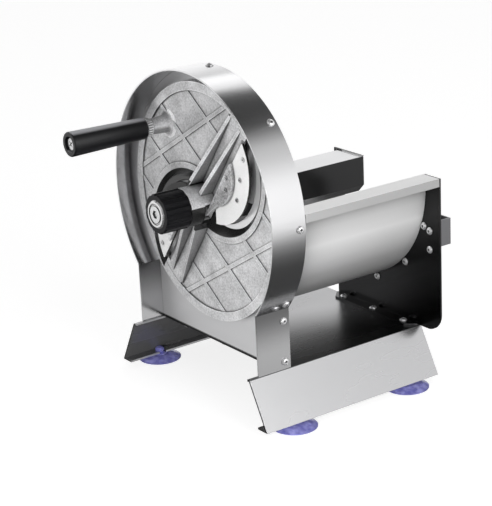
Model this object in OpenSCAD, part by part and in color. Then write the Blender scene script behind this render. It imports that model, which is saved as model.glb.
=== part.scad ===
// Hand-cranked vegetable slicer with a two-bladed cast disc, a half-round feed trough
// and a bent sheet-steel stand on four suction cups.
// Lengths are in millimetres. The front, with the crank, faces -Y, and +Z is up.
// The pieces are drawn from the spindle axis and the hoop's front edge, and placed()
// sets them above the table.

/* [Stand] */
// Height of the spindle axis above the table
axis_h = 208; // [200:1:220]
// Height of the deck's upper face above the table
deck_h = 55; // [48:1:60]
// Sheet thickness of the deck and feet
deck_t = 2; // [1.5:0.1:2.5]
// Depth from the hoop's front edge to the deck's rear edge
deck_rear = 212; // [190:1:235]
// How far the feet reach ahead of the hoop
foot_front = 11; // [6:1:20]
// Sideways spread of each foot from its bend to its lip
foot_spread = 26; // [16:1:32]
// Width of the lip folded inward under each foot
lip_w = 15.5; // [15:0.5:20]
// Height of the lips' undersides above the table
foot_lift = 6.5; // [5.5:0.5:9]

/* [Suction cups] */
// Radius of each cup's rim
cup_r = 23; // [18:0.5:26]
// Distance of the front cups' centres behind the hoop's front edge
cup_front_y = 30; // [18:1:50]
// Distance of the rear cups' centres ahead of the deck's rear edge
cup_rear_inset = 35; // [26:1:60]

/* [Hoop and back plate] */
// Outer radius of the hoop
hoop_r = 138; // [136:1:144]
// Depth of the hoop's band
hoop_depth = 40; // [38:1:48]
// Sheet thickness of the hoop's band
hoop_t = 1.5; // [1:0.1:2]
// Half the outer width across the hoop's legs
leg_x = 105.3; // [100:0.1:112]
// Distance of the back plate's front face behind the hoop's front edge
plate_y = 26.6; // [26.4:0.1:28]
// Sheet thickness of the back plate
plate_t = 1.5; // [1:0.1:2]

/* [Trough and end plate] */
// Outer radius of the trough about the spindle
trough_r = 117; // [112:0.5:119]
// Sheet thickness of the trough
trough_t = 1.2; // [0.8:0.1:1.6]
// Reach of the trough to the left of the spindle
trough_left = 19; // [10:0.5:20]
// Height of the trough's side flange above the spindle axis
flange_up = 13.5; // [12.5:0.5:18]
// Width of the trough's side flange
flange_w = 22; // [16:0.5:25]
// Depth of the flange's turned-down edge
edge_drop = 8.5; // [5:0.5:12]
// Sheet thickness of the end plate
end_t = 2; // [1.5:0.1:2.5]
// Length of the end plate's foot folded onto the deck
end_foot = 13; // [11:1:20]

/* [Spindle housing] */
// Reach of the housing to the left of the spindle
box_left = 29; // [24:0.5:32]
// Reach of the housing to the right of the spindle
box_right = 17; // [16.5:0.1:20]
// Reach of the housing below the spindle
box_low = 27.5; // [20:0.5:30]
// Height of the housing's lid above the spindle
box_up = 12.6; // [11:0.1:12.8]
// Sheet thickness of the housing
box_t = 1.2; // [0.8:0.1:1.5]

/* [Cutting disc] */
// Gap between the cutting disc and the hoop
disc_gap = 13; // [10.5:0.5:16.5]
// Distance of the disc's rim behind the hoop's front edge
rim_y = 18; // [17:0.1:18.4]
// Depth of the disc's rim
rim_depth = 6; // [5.6:0.1:6.2]
// Width of the raised rim
rim_w = 9.5; // [6:0.5:11]
// Angle of the bridge above the horizontal
bridge_deg = 54; // [40:1:70]
// Radius of the hub's boss
boss_r = 20.5; // [19.5:0.5:22]
// Reach of the boss ahead of the hoop's front edge
boss_front = 10.5; // [8:0.5:12]
// Thickness of the bridge's ribs
rib_t = 4; // [3:0.5:5]
// Radius of each opening's front edge
open_r = 74.2; // [70:0.1:76]
// Radius of each blade's cutting edge
edge_r = 60.8; // [56:0.1:62]
// Thickness of the blades
blade_t = 1.9; // [1.2:0.1:2]

/* [Slice gauge] */
// Slice thickness that the knob is set to
slice = 5.5; // [3:0.5:9]
// Thickness of the gauge wings
wing_t = 2.5; // [2:0.5:3]
// Radius of the thickness knob
knob_r = 20.5; // [17:0.5:24]
// Length of the thickness knob
knob_l = 29; // [24:1:34]

/* [Crank] */
// Distance of the crank grip from the spindle
crank_r = 93.6; // [88:0.5:97]
// Angle of the crank grip round the spindle
crank_deg = 130.7; // [120:0.1:140]
// Length of the crank grip
grip_l = 87; // [75:1:100]
// Radius of the grip at its free end
grip_r = 12.7; // [11.5:0.1:15]
// Radius of the grip at its root
grip_root_r = 11; // [10:0.1:12.5]
// Length of the crank's collar
collar_l = 7; // [5:0.5:10]

/* [Hidden] */

$fn = 72;
// Overrun of every cut past the face that it opens
cut = 1;
// Clearance all round where one sheet lies in another
sheet_gap = 0.1;
// Radial clearance where one piece turns or slides on another
run_gap = 0.05;
// Clearance between pieces that move past each other
free_gap = 0.4;

// Heights from the spindle axis
table_z = -axis_h;
deck_z = table_z + deck_h;
lip_z = table_z + foot_lift;
foot_x = leg_x + foot_spread;

// Radius of the disc, and the place of its openings along the bridge
disc_r = hoop_r - hoop_t - disc_gap;
edge_inset = 2.7;
open_s = disc_r - rim_w - edge_inset - edge_r;
open_up = 5.9;

// Depths along the spindle
plate_back = plate_y + plate_t;
end_y = deck_rear - end_t;
disc_back = rim_y + rim_depth;
land_h = 0.9;
floor_y = rim_y + 2 * land_h;
blade_y = disc_back - blade_t - sheet_gap;
wing_y = blade_y - slice - wing_t;
post_lead = 3;
grip_back = -post_lead - collar_l - free_gap;
grip_front = grip_back - grip_l;

// Screws and bolts
screw_r = 2;
screw_hole_r = screw_r + run_gap;
head_r = 4;
head_h = 2.2;
hex_r = 1.5;
nut_h = 2.6;
sink_r = 3.2;
sink_h = 1.2;

// Rear bracket
hook_t = 1.5;
hook_h = 28;
hook_tab_h = 38;
hook_reach = 20;
hook_w = 22;
hook_top = 34;
hook_inset = 8;
hook_back = deck_rear + hook_reach;
hook_bolt_drops = [11, 31];

centre_y = (hook_back + grip_front) / 2;

// Puts a piece that is drawn about the spindle onto the table
module placed() {
    translate([0, -centre_y, axis_h]) children();
}

// Extrudes a flat outline, drawn in x and z, from y0 over the given depth
module across(y0, depth) {
    rotate([90, 0, 0]) translate([0, 0, -y0 - depth]) linear_extrude(depth) children();
}

// Turns a profile of [radius, y] points about the spindle
module turned(profile) {
    rotate([90, 0, 0]) rotate_extrude() polygon([for (p = profile) [p[0], -p[1]]]);
}

// Round bar along the spindle
module bar(r, y0, y1) {
    rotate([-90, 0, 0]) translate([0, 0, y0]) cylinder(r = r, h = y1 - y0);
}

// Turns bridge axes, with x along the upper arm and z square to it, to upright axes
module on_bridge() {
    rotate([0, -bridge_deg, 0]) children();
}

// A piece and its copy half a turn round the spindle
module twice() {
    children();
    rotate([0, 180, 0]) children();
}

// A piece and its mirror image on the other side
module both_sides() {
    children();
    mirror([1, 0, 0]) children();
}

function unit(v) = v / norm(v);
function leftward(v) = [-v[1], v[0]];
function turn_in(path, i) = leftward(unit(path[i] - path[i - 1]));

// Mitred offset of point i of a path, on its left side
function mitred(path, i, d) =
    let (last = len(path) - 1)
    let (a = turn_in(path, max(i, 1)))
    let (b = turn_in(path, min(i + 1, last)))
    path[i] + (a + b) * d / (1 + a * b);

// Flat outline of a sheet of thickness t bent along a path, with t on the path's left
module bent(path, t) {
    last = len(path) - 1;
    polygon(concat(path, [for (i = [last:-1:0]) mitred(path, i, t)]));
}

// Button-head screw along +Z, with its head's underside at zero and a nut if asked
module screw(grip, nut = false) {
    difference() {
        union() {
            rotate_extrude() polygon([
                [0, -grip - (nut ? nut_h : 0)], [screw_r, -grip - (nut ? nut_h : 0)], [screw_r, 0],
                [head_r, 0], [head_r, head_h / 3], [head_r * 3 / 4, head_h * 5 / 6], [head_r / 2, head_h],
                [0, head_h]
            ]);
            if (nut) translate([0, 0, -grip - nut_h]) cylinder(r = head_r, h = nut_h, $fn = 6);
        }
        translate([0, 0, head_h / 2]) cylinder(r = hex_r, h = head_h, $fn = 6);
    }
}

// Countersunk screw along +Z, or its seat, with the head flush at zero
module flat_screw(grip, gap = 0, over = 0) {
    rotate_extrude() polygon([
        [0, -grip - gap], [screw_r + gap, -grip - gap], [screw_r + gap, -sink_h], [sink_r + gap, 0],
        [sink_r + gap, over], [0, over]
    ]);
}

// Stand: deck, feet and lips bent from one sheet

deck_inner_x = leg_x - deck_t;
// Distance of the cups' centres from the feet's lower bends
cup_in = 9.5;
cup_x = foot_x - cup_in;
cup_neck_r = 4;
deck_bolt_inset = 6.5;
end_bolt_x = -12;
end_bolt_pitch = 49.5;
end_bolt_xs = [for (i = [0:2]) end_bolt_x + i * end_bolt_pitch];
plate_bolt_pitch = 70;
plate_bolt_xs = [for (i = [-1:1]) i * plate_bolt_pitch];
plate_foot = 14;
// Distance of the deck's front edge behind the back plate's front face
deck_set_back = 2;

module deck_bolt_places() {
    for (x = end_bolt_xs) translate([x, end_y - deck_bolt_inset, deck_z + end_t]) children();
    for (x = plate_bolt_xs) translate([x, plate_back + plate_foot / 2, deck_z + plate_t]) children();
}

module cup_places() {
    both_sides() {
        translate([cup_x, cup_front_y, lip_z]) children();
        translate([cup_x, deck_rear - cup_rear_inset, lip_z]) children();
    }
}

module cup_slot() {
    translate([0, 0, -cut]) linear_extrude(deck_t + 2 * cut) {
        circle(cup_neck_r + sheet_gap);
        translate([-lip_w, -cup_neck_r - sheet_gap]) square([lip_w, 2 * (cup_neck_r + sheet_gap)]);
    }
}

module base_deck() {
    half = [[0, deck_z], [leg_x, deck_z], [foot_x, lip_z], [foot_x - lip_w, lip_z]];
    path = concat([for (i = [3:-1:1]) [-half[i][0], half[i][1]]], [for (i = [1:3]) half[i]]);
    mouth_w = 2 * (deck_inner_x - deck_t);
    color("silver") difference() {
        across(-foot_front, deck_rear + foot_front) bent(path, -deck_t);
        translate([-mouth_w / 2, -foot_front - cut, deck_z - deck_t - cut])
            cube([mouth_w, foot_front + plate_y + deck_set_back + cut, deck_t + 2 * cut]);
        // Slots that the cups' necks slide into from the lips' free edges
        cup_places() cup_slot();
        deck_bolt_places() translate([0, 0, -end_t - deck_t - cut])
            cylinder(r = screw_hole_r, h = end_t + deck_t + 2 * cut);
    }
}

// Suction cups, moulded with a neck that snaps through the lip

cup_rim_t = 1;
cup_wall = 1.6;
cup_hollow_r = 10;
cup_crown_r = 8;
button_r = 5;
button_h = 3.4;
cup_dome_share = 0.72;
cup_crown_share = 0.8;
button_top_share = 0.7;

module cup(x_side, y) {
    neck_top = foot_lift + deck_t + sheet_gap;
    color([0.36, 0.36, 0.75]) translate([x_side * cup_x, y, table_z]) rotate_extrude() difference() {
        polygon([
            [0, 0], [cup_r, 0], [cup_r, cup_rim_t], [cup_r * cup_dome_share, foot_lift / 2],
            [cup_crown_r, foot_lift * cup_crown_share],
            [cup_crown_r, foot_lift], [cup_neck_r, foot_lift], [cup_neck_r, neck_top], [button_r, neck_top],
            [button_r, neck_top + button_h / 2], [button_r * button_top_share, neck_top + button_h],
            [0, neck_top + button_h]
        ]);
        polygon([
            [0, -cut], [cup_r - cup_wall, -cut], [cup_r - cup_wall, 0], [cup_hollow_r, foot_lift / 2],
            [0, foot_lift / 2]
        ]);
    }
}

module front_left_cup() { cup(-1, cup_front_y); }
module front_right_cup() { cup(1, cup_front_y); }
module rear_left_cup() { cup(-1, deck_rear - cup_rear_inset); }
module rear_right_cup() { cup(1, deck_rear - cup_rear_inset); }

// Hoop and back plate, which share one outline: a circle that runs into straight legs

band_screw_y = 33;
// The hoop runs into its legs at this angle below the spindle axis
leg_deg = acos(leg_x / hoop_r);
low_screw_step = 3.3;
low_screw_deg = leg_deg - low_screw_step;
band_screw_degs = [-low_screw_deg, 0, 45, 90, 135, 180, 180 + low_screw_deg];
leg_screw_up = 8;
leg_screw_pitch = 43;

module outline(r, half) {
    intersection() {
        rotate(-90) circle(r);
        translate([-r, -sqrt(r * r - half * half) - cut]) square(2 * r);
    }
    translate([-half, deck_z]) square([2 * half, -deck_z]);
}

module band_screw_places() {
    for (a = band_screw_degs) rotate([0, -a, 0]) translate([hoop_r, band_screw_y, 0]) rotate([0, 90, 0])
        children();
    both_sides() for (i = [0, 1])
        translate([leg_x, band_screw_y, deck_z + leg_screw_up + i * leg_screw_pitch]) rotate([0, 90, 0])
            children();
}

module screw_bore(depth) {
    translate([0, 0, -depth]) cylinder(r = screw_hole_r, h = depth + cut);
}

module hoop_band() {
    color("gainsboro") difference() {
        across(0, hoop_depth) difference() {
            outline(hoop_r, leg_x);
            outline(hoop_r - hoop_t, leg_x - hoop_t);
            translate([hoop_t - leg_x, deck_z - cut]) square([2 * (leg_x - hoop_t), 2 * cut]);
        }
        band_screw_places() screw_bore(2 * hoop_t);
    }
}

plate_r = hoop_r - hoop_t - sheet_gap;
plate_half = leg_x - hoop_t - sheet_gap;
spindle_hole_r = 8;

module feed_outline(trim) {
    difference() {
        intersection() {
            circle(trough_r - trim);
            translate([trim - trough_left, -trough_r]) square([2 * trough_r, trough_r + flange_up - trim]);
        }
        box_outline(0);
    }
}

module back_plate() {
    inner_r = plate_r - plate_t;
    inner_half = plate_half - plate_t;
    color("lightgray") difference() {
        union() {
            across(plate_y, plate_t) outline(plate_r, plate_half);
            across(plate_y, hoop_depth - plate_y) difference() {
                outline(plate_r, plate_half);
                outline(inner_r, inner_half);
                translate([-inner_half, deck_z - cut]) square([2 * inner_half, 2 * cut]);
            }
            translate([-inner_half, plate_y, deck_z]) cube([2 * inner_half, plate_t + plate_foot, plate_t]);
        }
        across(plate_y - cut, plate_t + 2 * cut) feed_outline(trough_t);
        bar(spindle_hole_r, plate_y - cut, plate_back + cut);
        band_screw_places() screw_bore(hoop_t + sheet_gap + 2 * plate_t);
        deck_bolt_places() translate([0, 0, -plate_t - cut])
            cylinder(r = screw_hole_r, h = plate_t + 2 * cut);
        sleeve_screw_places() translate([0, 0, -cut]) cylinder(r = screw_hole_r, h = plate_t + 2 * cut);
    }
}

module band_screws() {
    color("silver") band_screw_places() screw(hoop_t + sheet_gap + plate_t + 2 * sheet_gap, nut = true);
}

// Trough and end plate

trough_rim = 9;
trough_bolt_degs = [-20, -46, -71.5];
trough_bolt_out = 4.6;
trough_bolt_r = trough_r + trough_bolt_out;

module trough_outline() {
    right = sqrt(trough_r * trough_r - flange_up * flange_up);
    difference() {
        feed_outline(0);
        feed_outline(trough_t);
        // The flange's side stays open at the top, between the right wall and the housing
        translate([box_right - cut, flange_up - 2 * trough_t])
            square([right - box_right - trough_t, 3 * trough_t]);
        translate([-box_left, -box_low]) square([box_left + box_right, box_low + flange_up]);
    }
    translate([right - trough_t, flange_up - trough_t]) square([flange_w + trough_t, trough_t]);
    translate([right + flange_w - trough_t, flange_up - edge_drop]) square([trough_t, edge_drop]);
}

module rim_outline() {
    difference() {
        intersection() {
            circle(trough_r + trough_rim);
            translate([-trough_left, -2 * trough_r]) square([2 * trough_r, 2 * trough_r - box_low]);
        }
        circle(trough_r - trough_t / 2);
    }
}

module trough_bolt_places() {
    for (a = trough_bolt_degs) rotate([0, -a, 0]) translate([trough_bolt_r, end_y, 0]) rotate([90, 0, 0])
        children();
}

module feed_trough() {
    color("whitesmoke") difference() {
        union() {
            across(plate_back, deck_rear - plate_back + trough_t) trough_outline();
            across(deck_rear, trough_t) rim_outline();
        }
        across(end_y, end_t + 2 * cut) translate([trough_r - 2 * cut, -edge_drop])
            square([2 * flange_w, flange_up + edge_drop + cut]);
        // The flange starts behind the hoop, and only its wall reaches the back plate
        across(plate_back - cut, hoop_depth + free_gap + cut - plate_back) translate([trough_r, -edge_drop])
            square([2 * flange_w, flange_up + edge_drop + cut]);
        trough_bolt_places() screw_bore(end_t + 2 * cut + trough_t);
    }
}

end_right = sqrt(trough_r * trough_r - flange_up * flange_up) + flange_w;
end_corner_r = 20;
box_corner_r = 8;
// How far the end plate stands out round the housing
end_margin = 1.2;
foot_cut = 10;
foot_right = 105;

module end_outline() {
    low = deck_z;
    difference() {
        union() {
            difference() {
                translate([-box_left, low]) square([box_left + end_right, flange_up - low]);
                translate([end_right - end_corner_r, low - cut])
                    square([end_corner_r + cut, end_corner_r + cut]);
                translate([-box_left - cut, box_up - box_corner_r])
                    square([box_left + box_right + cut, box_corner_r + flange_up]);
            }
            translate([end_right - end_corner_r, low + end_corner_r]) circle(end_corner_r);
            box_outline(-end_margin);
        }
        feed_outline(-sheet_gap);
        translate([box_right + end_margin, 0])
            square([end_right - box_right - end_margin - flange_w + sheet_gap, flange_up + cut]);
    }
}

module end_plate() {
    color([0.2, 0.2, 0.21]) difference() {
        union() {
            across(end_y, end_t) end_outline();
            translate([0, end_y + cut, deck_z]) linear_extrude(end_t) polygon([
                [-box_left, 0], [-box_left, foot_cut - end_foot - cut],
                [foot_cut - box_left, -end_foot - cut],
                [foot_right - foot_cut, -end_foot - cut], [foot_right, foot_cut - end_foot - cut],
                [foot_right, 0]
            ]);
        }
        trough_bolt_places() screw_bore(end_t + cut);
        hook_bolt_places() screw_bore(end_t + cut);
        deck_bolt_places() translate([0, 0, -end_t - cut]) cylinder(r = screw_hole_r, h = end_t + 2 * cut);
    }
}

module trough_bolts() {
    color("silver") trough_bolt_places() screw(end_t + trough_t, nut = true);
}

module deck_bolts() {
    color("silver") {
        for (x = end_bolt_xs) translate([x, end_y - deck_bolt_inset, deck_z + end_t])
            screw(end_t + deck_t, nut = true);
        for (x = plate_bolt_xs) translate([x, plate_back + plate_foot / 2, deck_z + plate_t])
            screw(plate_t + deck_t, nut = true);
    }
}

// Rear bracket: a strip bent to a hook behind the end plate

hook_right = end_right - hook_inset;
hook_bolt_in = 7;

module hook_bolt_places() {
    for (drop = hook_bolt_drops) translate([hook_right - hook_bolt_in, end_y, -hook_top - drop])
        rotate([90, 0, 0]) children();
}

module rear_bracket() {
    color("darkgray") difference() {
        union() {
            translate([hook_right - hook_w / 2, deck_rear, -hook_top - hook_tab_h])
                cube([hook_w / 2, hook_t, hook_tab_h]);
            translate([hook_right - hook_t, deck_rear, -hook_top - hook_h])
                cube([hook_t, hook_reach, hook_h]);
            translate([hook_right - hook_w, hook_back - hook_t, -hook_top - hook_h])
                cube([hook_w, hook_t, hook_h]);
        }
        // Clear of the trough's rim
        bar(trough_r + trough_rim + free_gap, deck_rear - cut, deck_rear + hook_t + cut);
        hook_bolt_places() screw_bore(end_t + hook_t + cut);
    }
}

module bracket_bolts() {
    color("silver") hook_bolt_places() screw(end_t + hook_t, nut = true);
}

// Spindle housing, bearing sleeve and bushes

box_chamfer = 9;
sleeve_r = 11;
bush_r = 8;
bush_rim_r = 9.6;
bush_rim_t = 2;
bush_w = 16;
spindle_r = 5;
shoulder_r = 6.5;
sleeve_end_gap = 8;
sleeve_back = end_y - sleeve_end_gap;
foot_plate_t = 3;
sleeve_screw_in = 8.8;
sleeve_screw_spots = [
    [sleeve_screw_in - box_left, sleeve_screw_in - box_low],
    [sleeve_screw_in - box_left, box_up - sleeve_screw_in],
    [box_right - box_chamfer - nut_h, sleeve_screw_in - box_low]
];

module box_outline(trim) {
    intersection() {
        difference() {
            translate([trim - box_left, trim - box_low])
                square([box_left + box_right - 2 * trim, box_low + box_up - 2 * trim]);
            translate([-box_left, box_up - box_corner_r]) square(box_corner_r);
        }
        // The lower right corner is cut off at 45 degrees
        translate([box_right, -box_low]) rotate(45)
            translate([-3 * box_left, (box_chamfer / sqrt(2)) + trim]) square([6 * box_left, 6 * box_left]);
    }
    translate([box_corner_r - box_left, box_up - box_corner_r]) circle(box_corner_r - trim);
}

module spindle_housing() {
    color("dimgray") across(plate_back, end_y - plate_back) difference() {
        box_outline(0);
        box_outline(box_t);
    }
}

module sleeve_screw_places() {
    for (spot = sleeve_screw_spots) translate([spot[0], plate_back, spot[1]]) rotate([90, 0, 0]) children();
}

module bearing_sleeve() {
    color("slategray") difference() {
        union() {
            bar(sleeve_r, plate_back, sleeve_back);
            across(plate_back, foot_plate_t) box_outline(2 * box_t);
        }
        bar(shoulder_r, plate_back - cut, sleeve_back + cut);
        bar(bush_r + run_gap, plate_back + bush_rim_t, plate_back + bush_w);
        bar(bush_rim_r + run_gap, plate_back - cut, plate_back + bush_rim_t);
        bar(bush_r + run_gap, sleeve_back - bush_w, sleeve_back + cut);
        sleeve_screw_places() translate([0, 0, -foot_plate_t - cut])
            cylinder(r = screw_hole_r, h = foot_plate_t + 2 * cut);
    }
}

module sleeve_screws() {
    color("silver") sleeve_screw_places() translate([0, 0, -foot_plate_t]) mirror([0, 0, 1])
        screw(plate_t + foot_plate_t);
}

// Flanged bush from its rim at y0 to its plain end at y1
module bush(y0, y1) {
    rim = sign(y1 - y0) * bush_rim_t;
    turned([
        [spindle_r + run_gap, y0], [bush_rim_r, y0], [bush_rim_r, y0 + rim], [bush_r, y0 + rim], [bush_r, y1],
        [spindle_r + run_gap, y1]
    ]);
}

module front_bush() { color("goldenrod") bush(plate_back, plate_back + bush_w); }
module rear_bush() { color("goldenrod") bush(sleeve_back + bush_rim_t, sleeve_back - bush_w); }

// Spindle, with the flange that carries the disc

flange_r = 18;
spindle_flange_t = 2;
nose_r = 8;
nose_l = 3;
nut_r = 8;
spindle_nut_h = 3;
spindle_end = sleeve_back + bush_rim_t + free_gap + spindle_nut_h;
spindle_screw_r = 13;
spindle_screw_degs = [54, 174, 294];

module spindle_shaft() {
    color("gray") difference() {
        turned([
            [0, disc_back - nose_l], [nose_r, disc_back - nose_l], [nose_r, disc_back], [flange_r, disc_back],
            [flange_r, disc_back + spindle_flange_t], [shoulder_r, disc_back + spindle_flange_t],
            [shoulder_r, plate_back - free_gap], [spindle_r, plate_back - free_gap], [spindle_r, spindle_end],
            [0, spindle_end]
        ]);
        spindle_screw_places() flat_screw(spindle_flange_t + cut, run_gap, cut);
    }
}

module spindle_nut() {
    color("goldenrod") difference() {
        across(spindle_end - spindle_nut_h, spindle_nut_h) circle(nut_r, $fn = 6);
        bar(spindle_r + run_gap, spindle_end - spindle_nut_h - cut, spindle_end + cut);
    }
}

module spindle_screw_places() {
    for (a = spindle_screw_degs) rotate([0, -a, 0])
        translate([spindle_screw_r, disc_back + spindle_flange_t, 0])
        rotate([-90, 0, 0]) children();
}

module spindle_screws() {
    color("silver") spindle_screw_places() flat_screw(spindle_flange_t + nose_l);
}

// Cutting disc: one casting with a panel, rim, bridge, boss and crank post

arm_edge = 15;
bevel_start = 9;
bevel_h = 2.6;
foot_shift = 0.6;
foot_s = open_s + foot_shift;
foot_down = 6.7;
foot_in = 4.3;
foot_r = edge_r - foot_in;
bead_w = 6;
blade_band = 22;
pocket_lift = 2.5;
rib_low = 2.7;
rib_high = 15.8;
rib_short = 4;
rib_end_s = disc_r - rim_w - rib_short;
rib_start_s = 10;
rib_start_y = 1.5;
web_step = 0.3;
land_step = 0.6;
grid_w = 4.5;
grid_start = -64.4;
grid_pitch = 46.9;
cross_offset = 70.5;
cross_deg = 30;
cavity_r = 15.5;
cavity_front = 4;
screw_rod_r = 5;
boss_seam_deg = 75;
slot_half = 9;
slot_right = 15;
carrier_t = 4;
post_r = 8;
post_root_r = 6;
post_draft = 1.2;
crank_bolt_r = 4;
post_bore = 14;

module opening_limits() {
    intersection() {
        circle(disc_r - rim_w - land_h);
        translate([-disc_r, -disc_r]) square([2 * disc_r, disc_r - arm_edge]);
    }
}

// Space that one slice opening takes out of the panel, sloping inward to the blade
module scoop() {
    intersection() {
        hull() {
            across(rim_y - cut, cut) translate([open_s, open_up]) circle(open_r);
            across(blade_y, sheet_gap) translate([foot_s, -foot_down]) circle(foot_r);
        }
        across(rim_y - 2 * cut, rim_depth + 3 * cut) opening_limits();
    }
}

module blade_outline(trim) {
    difference() {
        intersection() {
            translate([open_s, open_up]) circle(edge_r + blade_band - trim);
            circle(disc_r - rim_w / 2 - trim);
            translate([-disc_r, -disc_r]) square([2 * disc_r, disc_r - arm_edge + pocket_lift - trim]);
        }
        circle(boss_r + trim);
    }
}

// One rib of the bridge: a long wedge that runs along x from the boss almost to the rim
module bridge_rib(z) {
    root_y = floor_y + land_h;
    translate([0, 0, z - rib_t / 2]) linear_extrude(rib_t) polygon([
        [rib_start_s, rib_start_y], [rib_end_s, rim_y], [rib_end_s + land_h, root_y], [rib_start_s, root_y]
    ]);
}

module grid_outline() {
    intersection() {
        circle(disc_r - rim_w / 2);
        union() {
            for (i = [0:3]) translate([grid_start + i * grid_pitch - grid_w / 2, rib_high])
                square([grid_w, disc_r]);
            rotate(cross_deg - bridge_deg) translate([-disc_r, cross_offset - grid_w / 2])
                square([2 * disc_r, grid_w]);
        }
    }
}

module crank_place() {
    rotate([0, -crank_deg, 0]) translate([crank_r, 0, 0]) children();
}

module cutting_disc() {
    post_root = post_r + post_root_r;
    color("silver") difference() {
        union() {
            across(floor_y, disc_back - floor_y) circle(disc_r);
            across(rim_y, rim_depth) difference() {
                circle(disc_r);
                circle(disc_r - rim_w);
            }
            on_bridge() twice() {
                // Arm, with its web between two ribs
                across(rim_y + web_step, rim_depth - web_step) intersection() {
                    circle(disc_r - rim_w / 2);
                    translate([0, -arm_edge]) square([disc_r, arm_edge + rib_high]);
                }
                bridge_rib(rib_high);
                bridge_rib(-rib_low);
                across(floor_y - land_h, 2 * land_h) grid_outline();
                // Raised land round the opening
                across(rim_y + land_step, rim_depth / 2) intersection() {
                    translate([open_s, open_up]) circle(open_r + bead_w);
                    circle(disc_r - rim_w / 2);
                    translate([-disc_r, -disc_r]) square([2 * disc_r, disc_r - arm_edge]);
                }
            }
            rotate([0, -boss_seam_deg, 0])
                turned([
                    [0, -boss_front], [boss_r, -boss_front], [boss_r, disc_back - cut], [0, disc_back - cut]
                ]);
            crank_place() turned(concat(
                [[0, -post_lead], [post_r, -post_lead]],
                [for (a = [0:15:90]) [
                    post_root + post_draft - post_root_r * cos(a),
                    floor_y - post_root_r + post_root_r * sin(a)
                ]],
                [[0, floor_y]]
            ));
        }
        on_bridge() twice() {
            scoop();
            across(blade_y, blade_t + 2 * cut) blade_outline(0);
            // Bevel along the arm's edge
            rotate([0, 90, 0]) linear_extrude(disc_r - 2 * rim_w + land_h) polygon([
                [bevel_start, rim_y - cut], [bevel_start, rim_y],
                [2 * arm_edge - bevel_start, rim_y + 2 * bevel_h], [2 * arm_edge - bevel_start, rim_y - cut]
            ]);
            // Slot in the boss for the gauge's arm
            translate([-slot_half, wing_y - carrier_t - slice_out - free_gap, -boss_r - cut])
                cube([slot_half + slot_right, carrier_t + slice_out + slice_in + 2 * free_gap, boss_r + cut]);
        }
        bar(cavity_r, cavity_front - boss_front, floor_y);
        bar(screw_rod_r + run_gap, -boss_front - cut, disc_back);
        bar(nose_r + run_gap, disc_back - nose_l - run_gap, disc_back + cut);
        spindle_screw_places() screw_bore(spindle_flange_t + nose_l + sheet_gap);
        crank_place() bar(crank_bolt_r + run_gap, -post_lead - cut, post_bore + free_gap);
        on_bridge() twice() blade_screw_spots() screw_bore(blade_screw_l + sheet_gap);
    }
}

// Gauge travel from the photographed setting, forward and rearward
slice_max = 10;
slice_out = slice_max - slice;
slice_in = slice;

// Blades: flat sickles screwed into pockets in the disc's back

blade_screw_degs = [-52, -85, -118];
blade_screw_l = 2.6;
blade_bevel = 3;

module blade_screw_spots() {
    translate([open_s, disc_back, open_up]) for (a = blade_screw_degs) rotate([0, -a, 0])
        translate([edge_r + blade_band - head_r - cut, 0, 0]) rotate([-90, 0, 0]) children();
}

module blade() {
    color("white") on_bridge() difference() {
        across(blade_y, blade_t) blade_outline(sheet_gap);
        // Cutting edge, ground from the food's side
        translate([open_s, 0, open_up]) turned([
            [0, blade_y - cut], [edge_r, blade_y - cut], [edge_r, blade_y],
            [edge_r + blade_bevel, blade_y + blade_t], [edge_r + blade_bevel, blade_y + blade_t + cut],
            [0, blade_y + blade_t + cut]
        ]);
        blade_screw_spots() flat_screw(blade_t + cut, run_gap, cut);
    }
}

module right_blade() { blade(); }
module left_blade() { rotate([0, 180, 0]) blade(); }

module blade_screws() {
    color("silver") on_bridge() twice() blade_screw_spots() flat_screw(blade_screw_l);
}

// Crank: collar, bolt and turning grip

grip_recess_r = 8;
grip_recess = 5;
crank_head_r = 7;
crank_head_h = 2.5;
grip_round = 1.2;
crank_collar_r = 9.8;
collar_edge = 0.8;
collar_notches = 24;
notch_r = 0.7;

module crank_collar() {
    front = -post_lead - collar_l;
    color("lightgray") crank_place() difference() {
        turned([
            [crank_bolt_r + run_gap, front], [crank_collar_r - collar_edge, front],
            [crank_collar_r, front + collar_edge],
            [crank_collar_r, -post_lead - collar_edge], [crank_collar_r - collar_edge, -post_lead],
            [crank_bolt_r + run_gap, -post_lead]
        ]);
        // Knurling
        for (i = [1:collar_notches]) rotate([0, i * 360 / collar_notches, 0])
            translate([crank_collar_r, 0, 0])
            bar(notch_r, front - cut, -post_lead + cut);
    }
}

module crank_bolt() {
    head_y = grip_front + grip_recess - free_gap;
    color("silver") crank_place() difference() {
        turned([
            [0, head_y - crank_head_h], [crank_head_r - land_h, head_y - crank_head_h],
            [crank_head_r, head_y - crank_head_h / 2], [crank_head_r, head_y], [crank_bolt_r, head_y],
            [crank_bolt_r, post_bore], [0, post_bore]
        ]);
        for (a = [0, 90]) rotate([0, a, 0])
            translate([-crank_head_r / 2, head_y - crank_head_h - cut, -land_h / 2])
            cube([crank_head_r, cut + crank_head_h / 2, land_h]);
    }
}

module crank_grip() {
    color([0.08, 0.08, 0.08]) crank_place() turned([
        [crank_bolt_r + run_gap, grip_front + grip_recess], [grip_recess_r, grip_front + grip_recess],
        [grip_recess_r, grip_front], [grip_r - grip_round, grip_front],
        [grip_r - grip_round / 3, grip_front + grip_round / 3],
        [grip_r, grip_front + grip_round], [grip_root_r, grip_back - grip_round / 2],
        [grip_root_r - grip_round / 2, grip_back], [crank_bolt_r + run_gap, grip_back]
    ]);
}

// Slice gauge: a carrier on the adjusting screw, and two wings that fill the openings

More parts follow.
